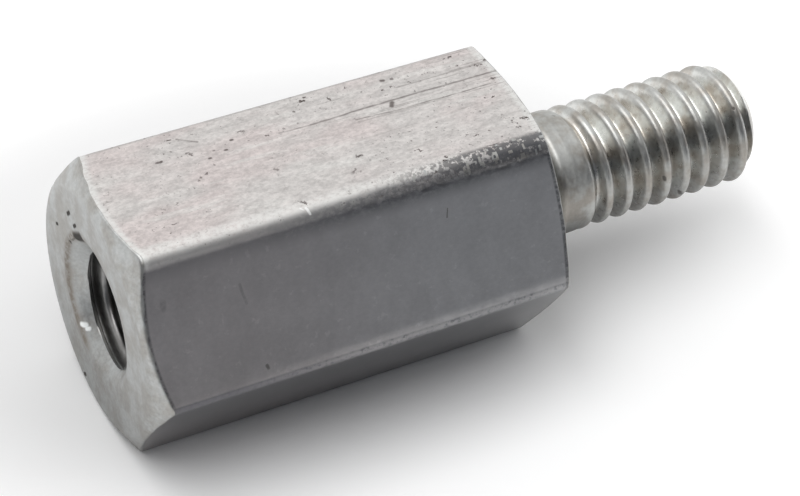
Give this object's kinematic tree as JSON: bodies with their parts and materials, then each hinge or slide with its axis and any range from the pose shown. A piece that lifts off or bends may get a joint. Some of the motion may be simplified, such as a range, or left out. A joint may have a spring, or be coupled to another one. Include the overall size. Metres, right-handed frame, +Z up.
{
  "type": "hex standoff",
  "caption": "Hexagonal threaded spacer with a male stud behind a relief groove, and a blind tapped hole in the opposite end.",
  "frame": {"origin": "middle of the flat it rests on, below the middle of the overall length", "axes": "+X along the axis from the tapped end towards the stud, +Z up from the flat it rests on"},
  "size_m": [0.022, 0.0092, 0.008],
  "materials": {
    "bright_metal": "satin, drawn flats and turned ends"
  },
  "bodies": {
    "root": {"standoff": "bright_metal"}
  },
  "joints": []
}
